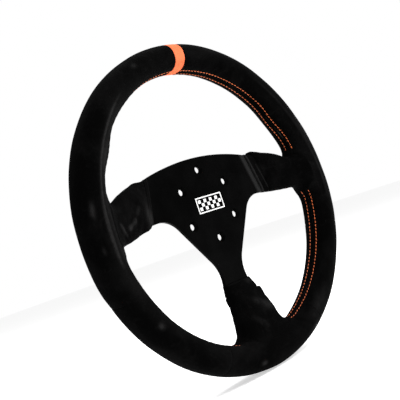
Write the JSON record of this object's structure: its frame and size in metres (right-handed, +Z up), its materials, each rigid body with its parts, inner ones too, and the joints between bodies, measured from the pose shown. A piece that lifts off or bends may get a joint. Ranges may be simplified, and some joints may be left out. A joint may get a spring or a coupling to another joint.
{
  "type": "racing steering wheel",
  "caption": "Flat-dished three-spoke racing steering wheel with a padded suede rim, padded spoke covers, a centre stripe and a bolt circle for a quick release hub.",
  "frame": {"origin": "centre of the hub bolt circle, on the plate's mounting (back) face", "axes": "+X right and +Z up as the driver sees the wheel with its stripe at the top, +Y along the steering axis, away from the driver"},
  "size_m": [0.3282, 0.0357, 0.3276],
  "materials": {
    "plate": "matte black coating",
    "hoop": "mill",
    "foam": "moulded polyurethane foam",
    "rim_suede": "brushed suede",
    "cover_suede": "brushed suede",
    "stripe": "orange suede",
    "thread": "orange twisted polyester",
    "dark_thread": "black twisted polyester",
    "print": "white screen print"
  },
  "bodies": {
    "root": {"spoke_plate": "plate", "rim_hoop": "hoop", "grip_foam": "foam", "centre_stripe": "stripe", "suede_upper_left": "rim_suede", "suede_upper_right": "rim_suede", "suede_lower_left": "rim_suede", "suede_lower_right": "rim_suede", "suede_bottom": "rim_suede", "spoke_foam_left": "foam", "spoke_foam_right": "foam", "spoke_foam_bottom": "foam", "spoke_cover_left": "cover_suede", "spoke_cover_right": "cover_suede", "spoke_cover_bottom": "cover_suede", "spoke_hem_left": "cover_suede", "spoke_hem_right": "cover_suede", "spoke_hem_bottom": "cover_suede", "thread_upper_right_front": "thread", "thread_upper_right_back": "thread", "thread_upper_left_front": "thread", "thread_upper_left_back": "thread", "thread_lower_left_front": "thread", "thread_lower_left_back": "thread", "thread_lower_right_front": "thread", "thread_lower_right_back": "thread", "closing_thread_left": "dark_thread", "closing_thread_right": "dark_thread", "closing_thread_bottom": "dark_thread", "emblem": "print"}
  },
  "joints": []
}
